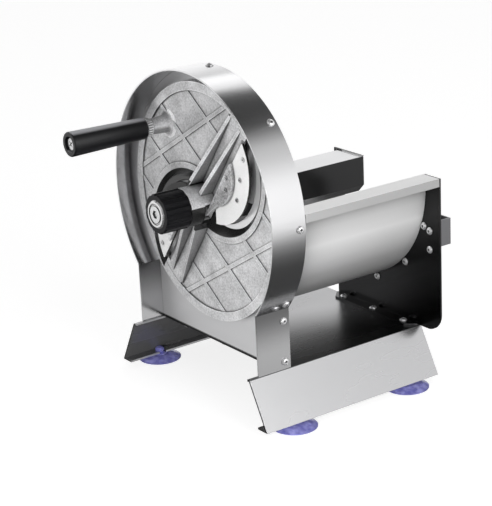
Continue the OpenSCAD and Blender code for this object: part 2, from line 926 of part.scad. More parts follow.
carrier_r = 12;
carrier_back = 5.5;
pad_inset = 3.8;
pad_s = open_s - pad_inset;
pad_up = 1.8;
pad_r = 35;
arm_left = 2;
arm_right = 8;
// Where the arm leaves the boss and where it joins the pad, as [along the bridge, square to it]
arm_tip = [4.5, 18];
arm_root_in = 24.9;
arm_root = [pad_s - arm_root_in, 23.4];
wing_gap = 0.8;
wing_in = 25.6;
tip_in = 10;
tip_s = disc_r - rim_w - tip_in;
tip_deg = 62;
// From the pad's centre
pad_screws = [[14.8, 21.5], [3.6, 27.5]];
// The wings' screws stand in a row
wing_screw_out = 0.3;
wing_screw_start = [open_s + wing_screw_out, 41.2];
wing_screw_pitch = 22.8;
wing_screw_deg = 19;

module wing_limits() {
    translate([-disc_r, -disc_r]) square([2 * disc_r, disc_r - arm_edge - free_gap]);
}

module carrier_arm_outline() {
    limit = -arm_edge - free_gap;
    intersection() {
        translate([pad_s, pad_up]) circle(pad_r);
        wing_limits();
    }
    polygon([
        [-arm_left, 0], [arm_right, 0], [arm_right, limit], [pad_s, limit], [arm_root[0], -arm_root[1]],
        [arm_tip[0], -arm_tip[1]], [-arm_left, limit]
    ]);
}

module wing_outline() {
    difference() {
        intersection() {
            translate([open_s, open_up]) circle(edge_r - wing_gap);
            wing_limits();
            translate([tip_s, -arm_edge]) rotate(tip_deg) translate([-2 * disc_r, -disc_r])
                square([2 * disc_r, 2 * disc_r]);
        }
        // Straight end beside the boss
        rotate(-bridge_deg) translate([wing_in - 2 * disc_r, -disc_r]) square([2 * disc_r, 2 * disc_r]);
    }
}

module gauge_carrier() {
    color("gray") difference() {
        union() {
            rotate([0, 90, 0]) bar(carrier_r, wing_y - carrier_back, wing_y - sheet_gap);
            on_bridge() twice() across(wing_y - carrier_t, carrier_t) carrier_arm_outline();
        }
        bar(screw_rod_r + run_gap, wing_y - carrier_back - cut, wing_y + cut);
    }
}

module gauge_wing() {
    color("white") on_bridge() across(wing_y, wing_t) wing_outline();
}

module right_gauge_wing() { gauge_wing(); }
module left_gauge_wing() { rotate([0, 180, 0]) gauge_wing(); }

module gauge_screws() {
    color("silver") on_bridge() twice() {
        for (p = pad_screws) translate([pad_s + p[0], wing_y - carrier_t, pad_up - p[1]]) rotate([90, 0, 0])
            gauge_screw();
        translate([wing_screw_start[0], wing_y, -wing_screw_start[1]]) for (i = [0:2])
            rotate([0, -wing_screw_deg, 0]) translate([i * wing_screw_pitch, 0, 0]) rotate([90, 0, 0])
                gauge_screw();
    }
}

// Head of a screw that is set into the carrier or a wing
module gauge_screw() {
    difference() {
        cylinder(r = screw_r, h = land_h);
        translate([0, 0, land_h / 2]) cylinder(r = screw_r / 2, h = land_h, $fn = 6);
    }
}

// Adjusting screw, knob and cap

collar_r = 9;
rod_collar_l = 3;
knob_back = -boss_front - free_gap;
knob_front = knob_back - knob_l;
lobes = 12;
lobe_cut_r = 4;
lobe_depth = 1.8;
cap_r = 14.5;
cap_t = 1.5;
cap_groove_r = 11;
cap_disc_r = 8.5;
cap_groove = 0.8;
cap_hex_r = 4.5;

module adjusting_screw() {
    collar_y = cavity_front - boss_front + free_gap;
    color("silver") turned([
        [0, knob_front + cap_t], [screw_rod_r, knob_front + cap_t], [screw_rod_r, collar_y],
        [collar_r, collar_y],
        [collar_r, collar_y + rod_collar_l], [screw_rod_r, collar_y + rod_collar_l],
        [screw_rod_r, disc_back - nose_l - free_gap], [0, disc_back - nose_l - free_gap]
    ]);
}

module thickness_knob() {
    color([0.06, 0.06, 0.06]) difference() {
        turned([
            [0, knob_front], [knob_r - grip_round, knob_front], [knob_r, knob_front + grip_round],
            [knob_r, knob_back],
            [0, knob_back]
        ]);
        for (i = [1:lobes]) rotate([0, i * 360 / lobes, 0])
            translate([knob_r + lobe_cut_r - lobe_depth, 0, 0])
            bar(lobe_cut_r, knob_front - cut, knob_back + cut);
        bar(screw_rod_r + run_gap, knob_front - cut, knob_back + cut);
        bar(cap_r + sheet_gap, knob_front - cut, knob_front + cap_t);
    }
}

module knob_cap() {
    color("silver") difference() {
        turned([
            [0, knob_front - cap_t], [cap_disc_r, knob_front - cap_t],
            [cap_disc_r, knob_front - cap_t + cap_groove],
            [cap_groove_r, knob_front - cap_t + cap_groove], [cap_groove_r, knob_front - cap_t],
            [cap_r - cap_t, knob_front - cap_t], [cap_r, knob_front], [cap_r, knob_front + cap_t],
            [0, knob_front + cap_t]
        ]);
        across(knob_front - cap_t - cut, cut + cap_t) circle(cap_hex_r, $fn = 6);
    }
}

placed() base_deck();
placed() front_left_cup();
placed() front_right_cup();
placed() rear_left_cup();
placed() rear_right_cup();
placed() hoop_band();
placed() back_plate();
placed() band_screws();
placed() feed_trough();
placed() end_plate();
placed() trough_bolts();
placed() deck_bolts();
placed() rear_bracket();
placed() bracket_bolts();
placed() spindle_housing();
placed() bearing_sleeve();
placed() sleeve_screws();
placed() front_bush();
placed() rear_bush();
placed() spindle_shaft();
placed() spindle_nut();
placed() spindle_screws();
placed() cutting_disc();
placed() right_blade();
placed() left_blade();
placed() blade_screws();
placed() crank_collar();
placed() crank_bolt();
placed() crank_grip();
placed() gauge_carrier();
placed() right_gauge_wing();
placed() left_gauge_wing();
placed() gauge_screws();
placed() adjusting_screw();
placed() thickness_knob();
placed() knob_cap();
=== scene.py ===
"""Finishes for a hand-cranked vegetable slicer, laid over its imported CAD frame.

Lengths are in metres. Each piece keeps its CAD shape. The scene adds a procedural material for
every kind of surface, the floor, the light and the camera.
"""

import math

import bpy
from mathutils import Matrix, Vector

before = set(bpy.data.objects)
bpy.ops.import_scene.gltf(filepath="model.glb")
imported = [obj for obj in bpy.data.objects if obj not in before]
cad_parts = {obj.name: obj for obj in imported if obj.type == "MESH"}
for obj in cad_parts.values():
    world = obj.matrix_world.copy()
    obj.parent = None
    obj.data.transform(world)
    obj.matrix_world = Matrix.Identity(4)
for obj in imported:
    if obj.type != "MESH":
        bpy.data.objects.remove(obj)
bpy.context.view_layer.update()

# Camera and floor
# The camera stands where the photograph was taken: to the right of the crank and a little above,
# with a long lens. The floor is a plain white sweep that the slicer stands on.

IMAGE_WIDTH_PX = 492
FOCAL_PX = 1744.5
SENSOR_MM = 36.0
CAMERA_PLACE = (1.3948, -0.9853, 0.7225)
CAMERA_AZIMUTH = math.radians(54.79)
CAMERA_ELEVATION = math.radians(18.76)
CAMERA_ROLL = math.radians(-2.72)

ahead = Vector((
    -math.sin(CAMERA_AZIMUTH) * math.cos(CAMERA_ELEVATION),
    math.cos(CAMERA_AZIMUTH) * math.cos(CAMERA_ELEVATION),
    -math.sin(CAMERA_ELEVATION),
))
level_right = Vector((math.cos(CAMERA_AZIMUTH), math.sin(CAMERA_AZIMUTH), 0.0))
level_up = level_right.cross(ahead)
rolled_right = level_right * math.cos(CAMERA_ROLL) + level_up * math.sin(CAMERA_ROLL)
rolled_up = level_up * math.cos(CAMERA_ROLL) - level_right * math.sin(CAMERA_ROLL)
turn = Matrix((rolled_right, rolled_up, -ahead)).transposed()

camera_data = bpy.data.cameras.new("photo_camera")
camera_data.sensor_fit = "HORIZONTAL"
camera_data.sensor_width = SENSOR_MM
camera_data.lens = FOCAL_PX / IMAGE_WIDTH_PX * SENSOR_MM
camera = bpy.data.objects.new("photo_camera", camera_data)
camera.matrix_world = Matrix.Translation(CAMERA_PLACE) @ turn.to_4x4()
bpy.context.collection.objects.link(camera)
bpy.context.scene.camera = camera
bpy.context.scene.view_settings.view_transform = "Standard"


def new_material(name):
    """A new node material, with its tree and its Principled shader."""
    material = bpy.data.materials.new(name)
    material.use_nodes = True
    return material, material.node_tree, material.node_tree.nodes["Principled BSDF"]


def add_node(tree, kind, inputs=None, **settings):
    """Adds a node. Each of its inputs is a plain value, or a socket to link from."""
    node = tree.nodes.new(kind)
    for name, value in settings.items():
        setattr(node, name, value)
    for key, value in (inputs or {}).items():
        if isinstance(value, bpy.types.NodeSocket):
            tree.links.new(value, node.inputs[key])
        else:
            node.inputs[key].default_value = value
    return node


def maths(tree, operation, *values):
    """What a Math node makes of plain values or sockets."""
    node = add_node(tree, "ShaderNodeMath", dict(enumerate(values)), operation=operation)
    return node.outputs["Value"]


def grey(level):
    """A neutral colour of one level."""
    return (level, level, level, 1)


def seen_directly(tree):
    """1 where the camera looks, also through the cups' vinyl, 0 for all other light."""
    rays = add_node(tree, "ShaderNodeLightPath").outputs
    return maths(tree, "MAXIMUM", rays["Is Camera Ray"], rays["Is Transmission Ray"])


FLOOR_HALF = 6.0
FLOOR_DROP = 0.0004
FLOOR_TONE = 0.5
FLOOR_GLOW = 0.8
FLOOR_ROUGHNESS = 0.7

floor_mesh = bpy.data.meshes.new("floor")
floor_mesh.from_pydata(
    [
        (-FLOOR_HALF, -FLOOR_HALF, -FLOOR_DROP),
        (FLOOR_HALF, -FLOOR_HALF, -FLOOR_DROP),
        (FLOOR_HALF, FLOOR_HALF, -FLOOR_DROP),
        (-FLOOR_HALF, FLOOR_HALF, -FLOOR_DROP),
    ],
    [],
    [(0, 1, 2, 3)],
)
floor = bpy.data.objects.new("floor", floor_mesh)
bpy.context.collection.objects.link(floor)
floor.visible_glossy = False
floor_paint, tree, shader = new_material("white_floor")
shader.inputs["Base Color"].default_value = grey(FLOOR_TONE)
shader.inputs["Roughness"].default_value = FLOOR_ROUGHNESS
glow = add_node(
    tree, "ShaderNodeEmission", {"Color": grey(FLOOR_GLOW), "Strength": seen_directly(tree)}
)
lit = add_node(
    tree, "ShaderNodeAddShader", {0: shader.outputs["BSDF"], 1: glow.outputs["Emission"]}
)
tree.links.new(lit.outputs["Shader"], tree.nodes["Material Output"].inputs["Surface"])
floor.data.materials.append(floor_paint)

# Stand
# The deck and both feet are one bent sheet of stainless steel with a satin grain. It stands on
# four violet vinyl suction cups, whose necks snap through the slots in the feet's lips.

COLOUR = "NodeSocketColor"
NUMBER = "NodeSocketFloat"
VECTOR = "NodeSocketVector"
FRONT = (0.0, -1.0, 0.0)
RIGHT = (1.0, 0.0, 0.0)
UP = (0.0, 0.0, 1.0)
# A grain runs along the axis whose share is small
ALONG_X = (0.1, 1.0, 1.0)
ALONG_Y = (1.0, 0.1, 1.0)
ALONG_Z = (1.0, 1.0, 0.1)
ALL_WAYS = (1.0, 1.0, 1.0)


def new_group(name, inputs, outputs):
    """A node group with named sockets, each input as its kind and the value it starts with."""
    group = bpy.data.node_groups.new(name, "ShaderNodeTree")
    for socket, (kind, value) in inputs.items():
        made = group.interface.new_socket(name=socket, in_out="INPUT", socket_type=kind)
        made.default_value = value
    for socket, kind in outputs.items():
        group.interface.new_socket(name=socket, in_out="OUTPUT", socket_type=kind)
    given = add_node(group, "NodeGroupInput").outputs
    return group, given, add_node(group, "NodeGroupOutput").inputs


def place_group(tree, group, values):
    """Places a node group with its own values and gives its outputs."""
    return add_node(tree, "ShaderNodeGroup", values, node_tree=group).outputs


def coordinate(tree, kind, axis=None):
    """The object's own place or normal at each point of its surface, or one axis of it."""
    vector = add_node(tree, "ShaderNodeTexCoord").outputs[kind]
    if axis:
        return add_node(tree, "ShaderNodeSeparateXYZ", {"Vector": vector}).outputs[axis]
    return vector


def vector_maths(tree, operation, first, second):
    """The output sockets of a Vector Math node with two vectors."""
    values = {0: first, 1: second}
    return add_node(tree, "ShaderNodeVectorMath", values, operation=operation).outputs


def scaled_colour(tree, colour, factor):
    """A colour made darker or lighter by a factor."""
    values = {"Vector": colour, "Scale": factor}
    return add_node(tree, "ShaderNodeVectorMath", values, operation="SCALE").outputs["Vector"]


def noise(tree, place, scale, detail=2.0):
    """Noise from 0 to 1."""
    values = {"Vector": place, "Scale": scale, "Detail": detail}
    return add_node(tree, "ShaderNodeTexNoise", values).outputs["Fac"]


def map_range(tree, value, start, end, low=0.0, high=1.0, interpolation="LINEAR"):
    """Takes a value that runs from start to end to one that runs from low to high."""
    values = {"Value": value, "From Min": start, "From Max": end, "To Min": low, "To Max": high}
    node = add_node(tree, "ShaderNodeMapRange", values, interpolation_type=interpolation)
    return node.outputs["Result"]


def mixed_colour(tree, factor, first, second):
    """The first colour where the factor is 0, the second where it is 1."""
    values = {"Factor": factor, "A": first, "B": second}
    return add_node(tree, "ShaderNodeMix", values, data_type="RGBA").outputs["Result"]


STEEL_GRAIN_SCALE = 60.0
STEEL_CLOUD_SCALE = 14.0


def rolled_steel_group():
    """Tone and roughness of satin sheet: fine grain drawn one way, and cloudy patches."""
    group, given, result = new_group(
        "rolled_steel",
        {
            "Tone": (COLOUR, grey(0.8)),
            "Grain": (VECTOR, ALL_WAYS),
            "Depth": (NUMBER, 0.06),
            "Roughness": (NUMBER, 0.3),
        },
        {"Color": COLOUR, "Roughness": NUMBER, "Height": NUMBER},
    )
    place = coordinate(group, "Object")
    drawn_out = vector_maths(group, "MULTIPLY", place, given["Grain"])["Vector"]
    grain = noise(group, drawn_out, STEEL_GRAIN_SCALE, 3.0)
    cloud = noise(group, place, STEEL_CLOUD_SCALE)
    uneven = maths(group, "SUBTRACT", maths(group, "ADD", grain, cloud), 1.0)
    change = maths(group, "MULTIPLY", uneven, given["Depth"])
    tone = scaled_colour(group, given["Tone"], maths(group, "ADD", change, 1.0))
    group.links.new(tone, result["Color"])
    # Lighter streaks are the smoother ones
    group.links.new(maths(group, "SUBTRACT", given["Roughness"], change), result["Roughness"])
    group.links.new(grain, result["Height"])
    return group


rolled_steel = rolled_steel_group()

# How squarely a face looks one way where its painted shade begins, and where it is full
SIDE_BEGINS = 0.8
SIDE_FULL = 0.95


def side_shade_group():
    """Painted shade: the share of its tone that a piece keeps on the side that faces one way."""
    group, given, result = new_group(
        "painted_side_shade",
        {"Color": (COLOUR, grey(0.8)), "Side": (VECTOR, UP), "Share": (NUMBER, 0.1)},
        {"Color": COLOUR},
    )
    facing = vector_maths(group, "DOT_PRODUCT", coordinate(group, "Normal"), given["Side"])
    squarely = facing["Value"]
    share = map_range(group, squarely, SIDE_BEGINS, SIDE_FULL, 1.0, given["Share"])
    group.links.new(scaled_colour(group, given["Color"], share), result["Color"])
    return group


painted_side_shade = side_shade_group()


def place_fade_group():
    """Paints shade: fades a tone from one share to another across a stretch of one direction."""
    group, given, result = new_group(
        "painted_shade_fade",
        {
            "Color": (COLOUR, grey(0.8)),
            "Direction": (VECTOR, UP),
            "Start": (NUMBER, 0.0),
            "End": (NUMBER, 1.0),
            "Start Share": (NUMBER, 1.0),
            "End Share": (NUMBER, 0.1),
            "Limit": (NUMBER, 1000.0),
        },
        {"Color": COLOUR},
    )
    place = coordinate(group, "Object")
    along = vector_maths(group, "DOT_PRODUCT", place, given["Direction"])["Value"]
    stretch = (given["Start"], given["End"], given["Start Share"], given["End Share"])
    share = map_range(group, along, *stretch, interpolation="SMOOTHSTEP")
    # Past the limit the tone is whole again
    whole = maths(group, "GREATER_THAN", along, given["Limit"])
    factor = maths(group, "MAXIMUM", share, whole)
    group.links.new(scaled_colour(group, given["Color"], factor), result["Color"])
    return group


painted_shade_fade = place_fade_group()


def side_shaded(tree, colour, sides):
    """Paints shade on a colour on each given side, as (side, share of the tone that stays)."""
    for side, share in sides:
        values = {"Color": colour, "Side": side, "Share": share}
        colour = place_group(tree, painted_side_shade, values)["Color"]
    return colour


EDGE_SAMPLES = 6


def round_edges(tree, shader, radius, height=None, strength=1.0, distance=0.0):
    """Softens a CAD mesh's sharp edges in the shading, over a fine bump where one is given."""
    bevel = add_node(tree, "ShaderNodeBevel", {"Radius": radius}, samples=EDGE_SAMPLES)
    normal = bevel.outputs["Normal"]
    if height:
        values = {"Strength": strength, "Distance": distance, "Height": height, "Normal": normal}
        normal = add_node(tree, "ShaderNodeBump", values).outputs["Normal"]
    tree.links.new(normal, shader.inputs["Normal"])


SHEET_EDGE = 0.0004
GRAIN_STRENGTH = 0.05
GRAIN_HEIGHT = 0.0002


def steel(name, tone, roughness, grain, depth=0.06, metallic=1.0, sides=(), fade=None):
    """Rolled or turned metal with its grain, and the painted shade laid on its sides and across its
    place.
    """
    material, tree, shader = new_material(name)
    values = {"Tone": (*tone, 1), "Grain": grain, "Depth": depth, "Roughness": roughness}
    finish = place_group(tree, rolled_steel, values)
    colour = side_shaded(tree, finish["Color"], sides)
    if fade:
        colour = place_group(tree, painted_shade_fade, {"Color": colour, **fade})["Color"]
    tree.links.new(colour, shader.inputs["Base Color"])
    tree.links.new(finish["Roughness"], shader.inputs["Roughness"])
    shader.inputs["Metallic"].default_value = metallic
    round_edges(tree, shader, SHEET_EDGE, finish["Height"], GRAIN_STRENGTH, GRAIN_HEIGHT)
    return material


def dress(material, *nodes):
    """Gives CAD nodes one material."""
    for node in nodes:
        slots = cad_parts[node].data.materials
        slots.clear()
        slots.append(material)


# A painted shade darkens the deck's top towards the right front. The feet lie lower, and the large
# weight on height keeps them out of it.
DECK_TOP = 0.055
HEIGHT_WEIGHT = 200.0
DECK_PAINTED_SHADE = {
    "Direction": (0.94, -0.35, HEIGHT_WEIGHT),
    "Start": HEIGHT_WEIGHT * DECK_TOP - 0.05,
    "End": HEIGHT_WEIGHT * DECK_TOP + 0.04,
    "Start Share": 1.0,
    "End Share": 0.2,
}
# Its top and its front edge are painted darker, as painted shade
deck_sheet = steel(
    "deck_sheet", (0.62, 0.62, 0.63), roughness=0.27, grain=ALONG_Y,
    sides=[(UP, 0.85), (FRONT, 0.1)], fade=DECK_PAINTED_SHADE,
)
# The undersides are matt, as the sheet left the mill, and painted darker: painted shade on the
# faces that look down
UNDERSIDE_FULL = -0.4
UNDERSIDE_ENDS = -0.2
MILL_METALLIC = 0.3
UNDERSIDE_SHADE_SHARE = 0.24
tree = deck_sheet.node_tree
shader = tree.nodes["Principled BSDF"]
deck_tone = shader.inputs["Base Color"].links[0].from_socket
upward = coordinate(tree, "Normal", "Z")
metallic = map_range(tree, upward, UNDERSIDE_FULL, UNDERSIDE_ENDS, MILL_METALLIC, 1.0)
tree.links.new(metallic, shader.inputs["Metallic"])
underside_shade = map_range(tree, upward, UNDERSIDE_FULL, UNDERSIDE_ENDS, UNDERSIDE_SHADE_SHARE, 1.0)
tree.links.new(scaled_colour(tree, deck_tone, underside_shade), shader.inputs["Base Color"])
dress(deck_sheet, "base_deck")

VIOLET_DEEP = (0.2, 0.2, 0.58, 1)
VIOLET_PALE = (0.5, 0.5, 0.95, 1)
WRINKLE_SCALE = 170.0
WRINKLE_CONTRAST = 2.4
WRINKLE_SHIFT = -0.75
RIPPLE_STRENGTH = 0.6
RIPPLE_HEIGHT = 0.0008
VINYL_ROUGHNESS = 0.08
VINYL_CLARITY = 0.45
VINYL_IOR = 1.45

cup_vinyl, tree, shader = new_material("cup_vinyl")
wrinkles = noise(tree, coordinate(tree, "Object"), WRINKLE_SCALE)
cloudy = maths(tree, "MULTIPLY_ADD", wrinkles, WRINKLE_CONTRAST, WRINKLE_SHIFT)
tree.links.new(mixed_colour(tree, cloudy, VIOLET_DEEP, VIOLET_PALE), shader.inputs["Base Color"])
values = {"Strength": RIPPLE_STRENGTH, "Distance": RIPPLE_HEIGHT, "Height": wrinkles}
ripple = add_node(tree, "ShaderNodeBump", values)
tree.links.new(ripple.outputs["Normal"], shader.inputs["Normal"])
shader.inputs["Roughness"].default_value = VINYL_ROUGHNESS
shader.inputs["Transmission Weight"].default_value = VINYL_CLARITY
shader.inputs["IOR"].default_value = VINYL_IOR
dress(cup_vinyl, "front_left_cup", "front_right_cup", "rear_left_cup", "rear_right_cup")

# Hoop and back plate
# A band of satin stainless sheet, bent round the rotor and down into two legs. It is screwed to
# the rim of the back plate, a sheet with the feed opening that is folded rearward all round.

# Painted shade: the legs darken upwards, and the hoop above this height is bright again
LEG_SHADE_TOP = 0.1195
LEG_PAINTED_SHADE = {
    "Direction": UP,
    "Start": 0.072,
    "End": LEG_SHADE_TOP,
    "Start Share": 1.0,
    "End Share": 0.3,
    "Limit": LEG_SHADE_TOP,
}
# A painted shadow along the plate's foot, where it meets the deck
PLATE_FOOT_SHADOW = {
    "Direction": UP,
    "Start": 0.0565,
    "End": 0.0585,
    "Start Share": 0.02,
    "End Share": 1.0,
}

hoop_sheet = steel(
    "hoop_sheet", (0.88, 0.88, 0.89), roughness=0.17, grain=ALONG_Y, fade=LEG_PAINTED_SHADE
)
dress(hoop_sheet, "hoop_band")
back_sheet = steel(
    "back_sheet", (0.8, 0.8, 0.81), roughness=0.45, grain=ALONG_X, metallic=0.7, fade=PLATE_FOOT_SHADOW
)
dress(back_sheet, "back_plate")

# Trough and end plate
# A half-round trough of smooth satin sheet, bolted through a polished end plate that stands on
# the deck. A bent hook strip is bolted behind the plate.

# Painted shade on the trough, from its flange to its belly, as (upward part of the normal, share)
TROUGH_PAINTED_SHADES = [
    (-1.0, 0.2),
    (-0.85, 0.38),
    (-0.6, 0.54),
    (-0.42, 0.82),
    (-0.27, 1.0),
    (-0.12, 0.74),
    (-0.02, 0.45),
    (0.02, 0.6),
    (0.5, 0.9),
    (1.0, 1.0),
]


def grey_ramp(tree, value, stops):
    """Greys for a value that runs from -1 to 1, as (value, grey)."""
    ramp = add_node(tree, "ShaderNodeValToRGB", {"Fac": map_range(tree, value, -1.0, 1.0)})
    elements = ramp.color_ramp.elements
    while len(elements) < len(stops):
        elements.new(0.5)
    for element, (place, level) in zip(elements, stops):
        element.position = (place + 1.0) / 2.0
        element.color = grey(level)
    return ramp.outputs["Color"]


FLANGE_BEGINS = 0.6
FLANGE_FULL = 0.95
ROLLED_METALLIC = 0.3
FLANGE_METALLIC = 0.9

trough_sheet, tree, shader = new_material("trough_sheet")
values = {"Tone": grey(0.95), "Grain": ALONG_Y, "Depth": 0.06, "Roughness": 0.4}
finish = place_group(tree, rolled_steel, values)
upward = coordinate(tree, "Normal", "Z")
trough_tone = scaled_colour(tree, finish["Color"], grey_ramp(tree, upward, TROUGH_PAINTED_SHADES))
tree.links.new(trough_tone, shader.inputs["Base Color"])
tree.links.new(finish["Roughness"], shader.inputs["Roughness"])
# The flange's top is left as bright as it was rolled
metallic = map_range(
    tree, upward, FLANGE_BEGINS, FLANGE_FULL, ROLLED_METALLIC, FLANGE_METALLIC
)
tree.links.new(metallic, shader.inputs["Metallic"])
round_edges(tree, shader, SHEET_EDGE)
dress(trough_sheet, "feed_trough")

# Its front, right and top faces are painted dark: a painted reflection of a dark room
polished_sheet = steel(
    "polished_sheet", (0.6, 0.6, 0.61), roughness=0.2, grain=ALL_WAYS, depth=0.02,
    sides=[(FRONT, 0.07), (RIGHT, 0.1), (UP, 0.2)],
)
dress(polished_sheet, "end_plate")
# The hook strip is painted dark: painted shade behind the end plate
dark_painted_bracket = steel("dark_painted_bracket", (0.27, 0.27, 0.28), roughness=0.3, grain=ALONG_Z)
dress(dark_painted_bracket, "rear_bracket")

# Spindle housing and spindle
# A folded box of polished sheet hides the bearing sleeve. Bronze bushes are pressed into the
# sleeve, and the turned spindle runs in them with the adjusting screw at its front.

# Its right face is painted near black: a painted reflection of a dark room
housing_sheet = steel(
    "housing_sheet", (0.8, 0.8, 0.81), roughness=0.2, grain=ALONG_Y, sides=[(RIGHT, 0.065)]
)
dress(housing_sheet, "spindle_housing")
turned_steel = steel("turned_steel", (0.6, 0.6, 0.61), roughness=0.25, grain=ALL_WAYS)
dress(turned_steel, "bearing_sleeve", "spindle_shaft", "adjusting_screw")
bronze = steel("sintered_bronze", (0.66, 0.45, 0.25), roughness=0.4, grain=ALL_WAYS)
dress(bronze, "front_bush", "rear_bush")

# Cutting disc and blades
# The disc is one blasted aluminium casting, with scoops through it whose walls are painted dark as
# painted shade. Two ground sickle blades are screwed into pockets at its back, and the crank's post
# carries a knurled collar.

BRIDGE_ANGLE = math.radians(54)
OPENING_CENTRE = (0.0505, 0.0059)
OPENING_RADIUS = 0.0739
ARM_EDGE = 0.0148
AXIS_HEIGHT = 0.208


def scoop_mask_group():
    """1 inside the casting's two slice openings, where painted shade falls on the scoops, 0
    elsewhere.
    """
    group, _, result = new_group("scoop_shade_mask", {}, {"Inside": NUMBER})
    x = coordinate(group, "Object", "X")
    z = maths(group, "SUBTRACT", coordinate(group, "Object", "Z"), AXIS_HEIGHT)
    cosine, sine = math.cos(BRIDGE_ANGLE), math.sin(BRIDGE_ANGLE)
    along = maths(
        group, "ADD", maths(group, "MULTIPLY", x, cosine), maths(group, "MULTIPLY", z, sine)
    )
    beside = maths(
        group, "SUBTRACT", maths(group, "MULTIPLY", z, cosine), maths(group, "MULTIPLY", x, sine)
    )
    # The second opening is the first one turned by half a turn
    flip = maths(group, "MULTIPLY", maths(group, "SIGN", beside), -1.0)
    across = maths(group, "SUBTRACT", maths(group, "MULTIPLY", along, flip), OPENING_CENTRE[0])
    below = maths(group, "MULTIPLY", beside, flip)
    lift = maths(group, "SUBTRACT", below, OPENING_CENTRE[1])
    square = maths(
        group, "ADD", maths(group, "MULTIPLY", across, across), maths(group, "MULTIPLY", lift, lift)
    )
    near = maths(group, "LESS_THAN", square, OPENING_RADIUS ** 2)
    under = maths(group, "LESS_THAN", below, -ARM_EDGE)
    group.links.new(maths(group, "MULTIPLY", near, under), result["Inside"])
    return group


scoop_shade_mask = scoop_mask_group()

BLASTED_GRAIN_SCALE = 620.0
BLASTED_CLOUD_SCALE = 45.0
WIDE_SHADE_REACH = 0.012
FINE_SHADE_REACH = 0.002
FINE_SHADE_POWER = 1.6
EDGE_HIGHLIGHT_REACH = 0.0016
CORNER_SAMPLES = 8


def corner(tree, reach, inside=False):
    """Falls from 1 in the open to 0 in a corner, or on a sharp edge where it looks inside."""
    settings = {"samples": CORNER_SAMPLES, "inside": inside}
    node = add_node(tree, "ShaderNodeAmbientOcclusion", {"Distance": reach}, **settings)
    return node.outputs["AO"]


def blasted_group():
    """Grain of blasted aluminium, with painted shade in the corners and painted highlights on sharp
    edges.
    """
    group, given, result = new_group(
        "blasted",
        {
            "Tone": (COLOUR, grey(0.6)),
            "Speckle": (NUMBER, 0.2),
            "Corner Shade": (NUMBER, 0.7),
            "Edge Highlight": (NUMBER, 0.5),
        },
        {"Color": COLOUR, "Height": NUMBER},
    )
    place = coordinate(group, "Object")
    grain = noise(group, place, BLASTED_GRAIN_SCALE)
    cloud = noise(group, place, BLASTED_CLOUD_SCALE, 3.0)
    uneven = maths(group, "SUBTRACT", maths(group, "ADD", grain, cloud), 1.0)
    speckle = maths(group, "MULTIPLY_ADD", uneven, given["Speckle"], 1.0)
    wide = maths(group, "POWER", corner(group, WIDE_SHADE_REACH), given["Corner Shade"])
    fine = maths(group, "POWER", corner(group, FINE_SHADE_REACH), FINE_SHADE_POWER)
    sharp = maths(group, "SUBTRACT", 1.0, corner(group, EDGE_HIGHLIGHT_REACH, inside=True))
    edge_highlight = maths(group, "MULTIPLY_ADD", sharp, given["Edge Highlight"], 1.0)
    speckled_and_shaded = maths(group, "MULTIPLY", speckle, maths(group, "MULTIPLY", wide, fine))
    tone = scaled_colour(group, given["Tone"], maths(group, "MULTIPLY", speckled_and_shaded, edge_highlight))
    group.links.new(tone, result["Color"])
    group.links.new(grain, result["Height"])
    return group


blasted = blasted_group()

CAST_EDGE = 0.0005
BLAST_STRENGTH = 0.25
BLAST_HEIGHT = 0.0002
PAINTED_SHADE_TONE = grey(0.03)
DARK_ROUGHNESS = 0.25
FRONT_LIMIT = -0.5
HOLLOW_SHARE = 0.035
HOLLOW_BLUR = 0.02


def blasted_metal(
    name, tone, roughness, speckle, corner_shade, edge_highlight, metallic,
    scooped=False, front_only=False, shaded_above=None, sides=(),
):
    """Blasted, plated or coated metal. Its scoops, or all but its front, may be painted dark as
    painted shade, and so may the part above a height, as a painted shade of the hollow behind the
    boss."""
    material, tree, shader = new_material(name)
    values = {"Tone": (*tone, 1), "Speckle": speckle, "Corner Shade": corner_shade, "Edge Highlight": edge_highlight}
    finish = place_group(tree, blasted, values)
    colour = finish["Color"]
    dark = None
    if scooped:
        dark = place_group(tree, scoop_shade_mask, {})["Inside"]
    elif front_only:
        dark = maths(tree, "GREATER_THAN", coordinate(tree, "Normal", "Y"), FRONT_LIMIT)
    if dark:
        colour = mixed_colour(tree, dark, colour, PAINTED_SHADE_TONE)
        smoother = maths(tree, "MULTIPLY", dark, roughness - DARK_ROUGHNESS)
        rough = maths(tree, "SUBTRACT", roughness, smoother)
        tree.links.new(rough, shader.inputs["Roughness"])
    else:
        shader.inputs["Roughness"].default_value = roughness
    if shaded_above:
        height = coordinate(tree, "Object", "Z")
        start = shaded_above - HOLLOW_BLUR
        share = map_range(tree, height, start, shaded_above, 1.0, HOLLOW_SHARE, "SMOOTHSTEP")
        colour = scaled_colour(tree, colour, share)
    tree.links.new(side_shaded(tree, colour, sides), shader.inputs["Base Color"])
    shader.inputs["Metallic"].default_value = metallic
    round_edges(tree, shader, CAST_EDGE, finish["Height"], BLAST_STRENGTH, BLAST_HEIGHT)
    return material


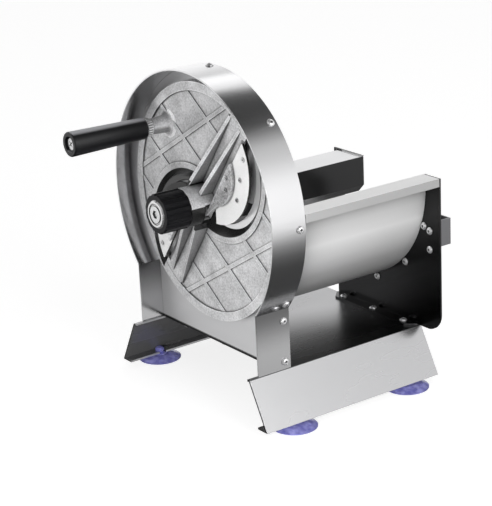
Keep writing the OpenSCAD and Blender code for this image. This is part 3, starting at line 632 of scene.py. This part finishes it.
# Painted shade: the bridge's arms are darker on both of their long sides
ARM_SHARE = 0.45
arm_side = Vector((-math.sin(BRIDGE_ANGLE), 0.0, math.cos(BRIDGE_ANGLE)))
cast = blasted_metal(
    "cast_aluminium", (0.7, 0.7, 0.71), roughness=0.42, speckle=1.0, corner_shade=0.7, edge_highlight=0.6,
    metallic=0.45, scooped=True, sides=[(arm_side, ARM_SHARE), (-arm_side, ARM_SHARE)],
)
dress(cast, "cutting_disc")
collar_cast = blasted_metal(
    "collar_cast", (0.9, 0.9, 0.91), roughness=0.3, speckle=0.6, corner_shade=0.6, edge_highlight=1.0,
    metallic=0.6,
)
dress(collar_cast, "crank_collar")
ground_blade = steel(
    "ground_blade", (0.92, 0.92, 0.93), roughness=0.2, grain=ALL_WAYS, metallic=0.6
)
dress(ground_blade, "right_blade")
# The left blade is painted dark: a painted shade, as it lies in the dark of its scoop
shaded_blade = steel("shaded_blade", (0.1, 0.1, 0.1), roughness=0.2, grain=ALL_WAYS)
dress(shaded_blade, "left_blade")

# Slice gauge
# Two pale coated wings fill the disc's openings and set the slice's thickness. They are screwed
# to a cast carrier, which slides along the spindle.

carrier_cast = blasted_metal(
    "carrier_cast", (0.66, 0.66, 0.67), roughness=0.4, speckle=1.6, corner_shade=0.6, edge_highlight=0.8,
    metallic=0.5,
)
dress(carrier_cast, "gauge_carrier")
# All but the wings' fronts are painted dark: painted shade on their edges and backs
right_plate = blasted_metal(
    "gauge_plate", (0.95, 0.95, 0.95), roughness=0.5, speckle=0.2, corner_shade=0.15, edge_highlight=0.0,
    metallic=0.1, front_only=True,
)
dress(right_plate, "right_gauge_wing")
# The left wing's top is also painted dark: a painted shade of the hollow behind the boss
left_plate = blasted_metal(
    "left_gauge_plate", (0.95, 0.95, 0.95), roughness=0.3, speckle=0.2, corner_shade=0.15, edge_highlight=0.0,
    metallic=0.1, front_only=True, shaded_above=0.2,
)
dress(left_plate, "left_gauge_wing")

# Knob and crank
# A scalloped knob and a straight grip, both of black moulded plastic with a soft gloss. The knob
# turns the adjusting screw, and the grip turns freely on its bolt.

PLASTIC_SKIN_SCALE = 900.0
PLASTIC_BLACK = grey(0.001)
PLASTIC_CHARCOAL = (0.009, 0.009, 0.011, 1)
PLASTIC_EDGE = 0.0006
SKIN_STRENGTH = 0.1
SKIN_HEIGHT = 0.0001


def moulded_plastic(name, roughness, specular):
    """Black plastic with the fine skin that its mould leaves."""
    material, tree, shader = new_material(name)
    skin = noise(tree, coordinate(tree, "Object"), PLASTIC_SKIN_SCALE)
    tone = mixed_colour(tree, skin, PLASTIC_BLACK, PLASTIC_CHARCOAL)
    tree.links.new(tone, shader.inputs["Base Color"])
    round_edges(tree, shader, PLASTIC_EDGE, skin, SKIN_STRENGTH, SKIN_HEIGHT)
    shader.inputs["Roughness"].default_value = roughness
    shader.inputs["Specular IOR Level"].default_value = specular
    return material


knob_plastic = moulded_plastic("knob_plastic", roughness=0.3, specular=0.22)
dress(knob_plastic, "thickness_knob")

# A painted highlight: a pale band along the grip's top
GRIP_HIGHLIGHT_TONE = (0.95, 0.95, 1.0, 1)
GRIP_HIGHLIGHT_SHARE = 0.6
GRIP_HIGHLIGHT_BEGINS = 0.76
GRIP_HIGHLIGHT_FULL = 0.98
grip_plastic = moulded_plastic("grip_plastic", roughness=0.38, specular=0.5)
tree = grip_plastic.node_tree
shader = tree.nodes["Principled BSDF"]
black = shader.inputs["Base Color"].links[0].from_socket
upward = coordinate(tree, "Normal", "Z")
painted_highlight = map_range(tree, upward, GRIP_HIGHLIGHT_BEGINS, GRIP_HIGHLIGHT_FULL, 0.0, GRIP_HIGHLIGHT_SHARE, "SMOOTHSTEP")
tree.links.new(mixed_colour(tree, painted_highlight, black, GRIP_HIGHLIGHT_TONE), shader.inputs["Base Color"])
dress(grip_plastic, "crank_grip")

# Fasteners
# Button-head screws, bolts and nuts of zinc-plated steel. Those of the stand get less painted
# corner shade, and so look brighter, than the screws and nuts that turn with the disc, the gauge
# and the knob.

plated_screw_light_shade = blasted_metal(
    "plated_screw_light_shade", (0.95, 0.95, 0.96), roughness=0.3, speckle=0.05, corner_shade=0.45, edge_highlight=0.3,
    metallic=0.8,
)
dress(
    plated_screw_light_shade, "band_screws", "trough_bolts", "deck_bolts", "bracket_bolts", "sleeve_screws"
)
plated_screw_deep_shade = blasted_metal(
    "plated_screw_deep_shade", (0.95, 0.95, 0.96), roughness=0.22, speckle=0.05, corner_shade=1.1, edge_highlight=0.3,
    metallic=0.9,
)
dress(
    plated_screw_deep_shade, "spindle_nut", "spindle_screws", "blade_screws", "gauge_screws", "crank_bolt",
    "knob_cap",
)

# Light
# A white room, which looks darker overhead and underfoot in polished steel. Soft lamps stand
# round the slicer, with a small low one at its right front.

ROOM_LIGHT = 0.25
# How bright the room looks in the steel, as (upward part of the direction, brightness)
ROOM_IN_STEEL = [
    (-1.0, 0.04),
    (-0.66, 0.055),
    (-0.56, 0.1),
    (-0.44, 0.25),
    (-0.31, 0.66),
    (-0.17, 1.0),
    (0.16, 1.0),
    (0.28, 0.95),
    (0.41, 0.8),
    (0.53, 0.64),
    (0.65, 0.57),
    (0.72, 0.33),
    (0.78, 0.07),
    (0.83, 0.04),
    (1.0, 0.03),
]
# The room's dark side, how near to it the dark begins and is full, and how bright it is there
DARK_SIDE = (0.816, -0.577, 0.0)
DARK_BEGINS = 0.5
DARK_FULL = 0.9
DARK_SHARE = 0.22

world = bpy.data.worlds.new("white_room")
bpy.context.scene.world = world
world.use_nodes = True
tree = world.node_tree
tree.nodes.clear()
height = coordinate(tree, "Generated", "Z")
toward_dark = vector_maths(tree, "DOT_PRODUCT", coordinate(tree, "Generated"), DARK_SIDE)["Value"]
brightness = map_range(
    tree, toward_dark, DARK_BEGINS, DARK_FULL, 1.0, DARK_SHARE, "SMOOTHSTEP"
)
values = {"Color": grey_ramp(tree, height, ROOM_IN_STEEL), "Strength": brightness}
reflected = add_node(tree, "ShaderNodeBackground", values)
around = add_node(tree, "ShaderNodeBackground", {"Color": grey(ROOM_LIGHT)})
white = add_node(tree, "ShaderNodeBackground", {"Color": grey(1)})
rays = add_node(tree, "ShaderNodeLightPath").outputs
lighting = add_node(tree, "ShaderNodeMixShader", {
    0: rays["Is Glossy Ray"], 1: around.outputs["Background"], 2: reflected.outputs["Background"]
})
room = add_node(tree, "ShaderNodeMixShader", {
    0: seen_directly(tree), 1: lighting.outputs["Shader"], 2: white.outputs["Background"]
})
add_node(tree, "ShaderNodeOutputWorld", {"Surface": room.outputs["Shader"]})


def soft_lamp(name, place, aim, size, watts):
    """A rectangular soft lamp that points at its aim."""
    data = bpy.data.lights.new(name, "AREA")
    data.shape = "RECTANGLE"
    data.size, data.size_y = size
    data.energy = watts
    lamp = bpy.data.objects.new(name, data)
    lamp.location = place
    lamp.rotation_euler = (Vector(aim) - Vector(place)).to_track_quat("-Z", "Y").to_euler()
    bpy.context.collection.objects.link(lamp)
    return lamp


SLICER_MIDDLE = (0.0, 0.0, 0.18)
DISC_RIGHT = (0.04, -0.06, 0.17)
soft_lamp("front_left_lamp", (-1.0, -1.7, 0.9), SLICER_MIDDLE, size=(1.0, 1.0), watts=1.5)
low_lamp = soft_lamp(
    "low_right_lamp", (0.4, -0.48, 0.03), DISC_RIGHT, size=(0.3, 0.3), watts=4.8
)
low_lamp.visible_glossy = False
soft_lamp("right_lamp", (2.0, 0.1, 0.8), SLICER_MIDDLE, size=(1.4, 1.4), watts=20)
soft_lamp("rear_left_lamp", (-0.76, 1.06, 1.55), SLICER_MIDDLE, size=(0.9, 0.5), watts=0.9)
